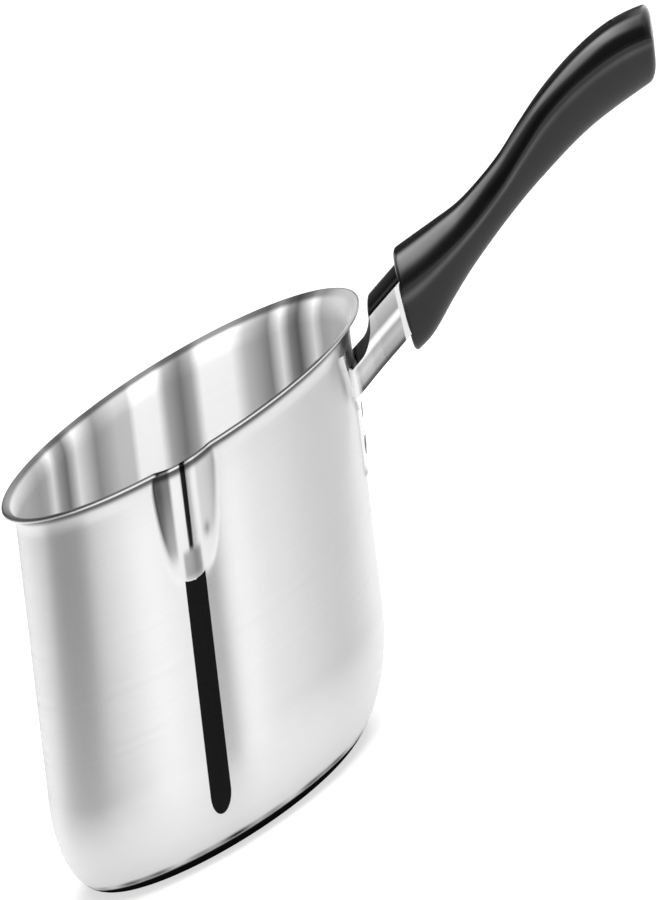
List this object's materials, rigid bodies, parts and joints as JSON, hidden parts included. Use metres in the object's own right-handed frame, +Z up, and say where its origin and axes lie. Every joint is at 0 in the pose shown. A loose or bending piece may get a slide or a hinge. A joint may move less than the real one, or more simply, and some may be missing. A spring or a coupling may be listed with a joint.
{
  "type": "melting pot",
  "caption": "Small stainless steel melting pot with a flared rim, a pressed pouring spout, a layered base and one black moulded handle on a welded channel bracket.",
  "frame": {"origin": "centre of the base's underside, on the pot's axis", "axes": "+Z up along the pot's axis, +X along the handle, -Y towards the pouring spout"},
  "size_m": [0.3193, 0.1783, 0.1168],
  "materials": {
    "polished_steel": "polished stainless steel",
    "aluminium_core": "plain rolled",
    "base_steel": "turned stainless steel",
    "strip_black": "smooth, slightly glossy",
    "bracket_steel": "polished stamped stainless steel",
    "weld_steel": "dull weld marks",
    "grip_black": "moulded phenolic, glossy crown and satin sides",
    "insert_brass": "plain",
    "screw_steel": "bright zinc plated"
  },
  "bodies": {
    "root": {"pot_body": "polished_steel", "base_core": "aluminium_core", "base_cap": "base_steel", "level_strip": "strip_black", "handle_bracket": "bracket_steel", "weld_nuggets": "weld_steel", "handle_grip": "grip_black", "threaded_insert": "insert_brass", "handle_screw": "screw_steel", "spring_washer": "screw_steel"}
  },
  "joints": []
}
